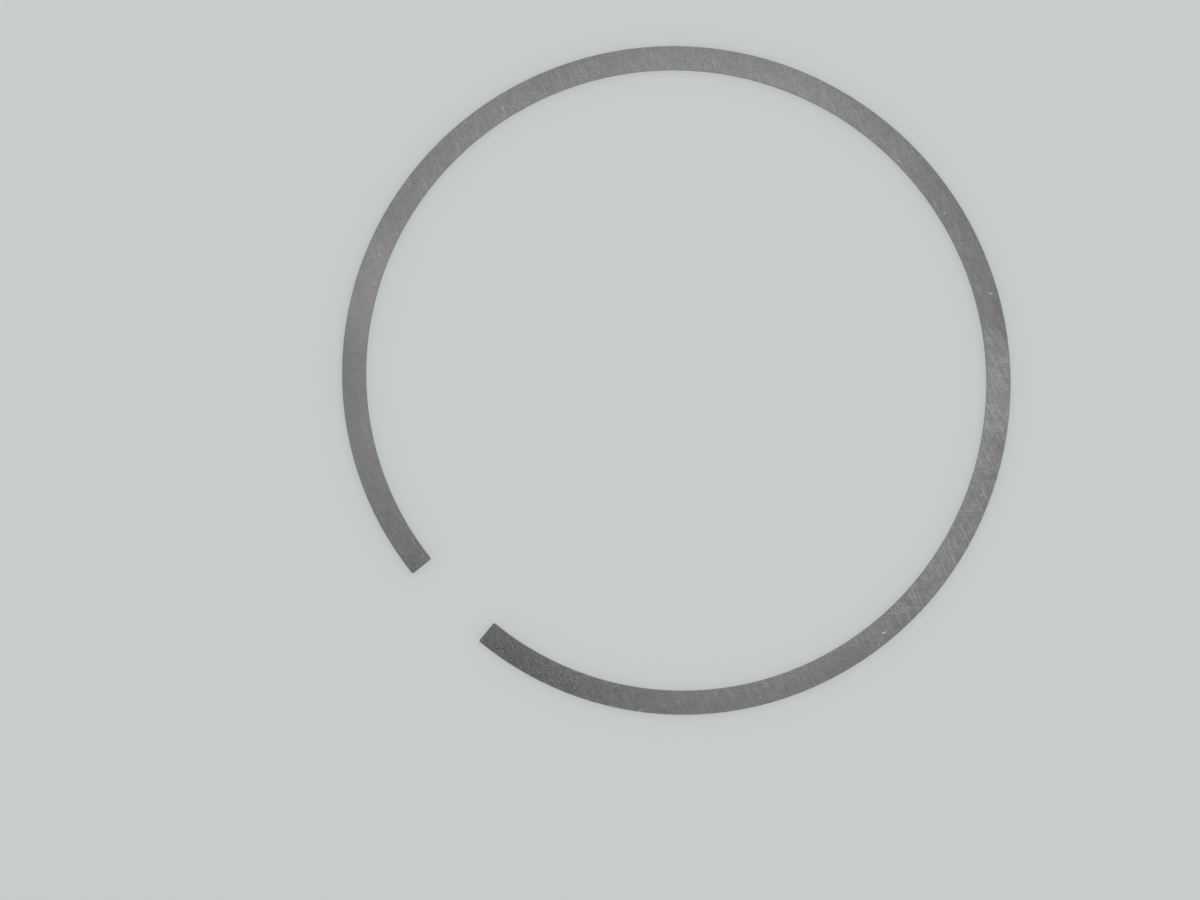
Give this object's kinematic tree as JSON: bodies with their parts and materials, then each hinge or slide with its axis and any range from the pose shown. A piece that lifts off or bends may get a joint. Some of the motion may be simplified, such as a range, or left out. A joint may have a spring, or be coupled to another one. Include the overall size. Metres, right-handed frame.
{
  "type": "piston ring",
  "caption": "Split metal ring with a flat rectangular section, barrelled running face and square-cut ends, sprung open as it lies off the piston; it seals a piston in its cylinder.",
  "frame": {"origin": "on the lower side face, in the middle of the ring's length and width", "axes": "+Z along the ring's axis, out of the upper side face; the gap is on -Y and the back of the ring on +Y"},
  "size_m": [0.1068, 0.1044, 0.0015],
  "materials": {
    "ring_steel": "satin grey, nitrided and ground on the side faces"
  },
  "bodies": {
    "root": {"piston_ring": "ring_steel"}
  },
  "joints": []
}
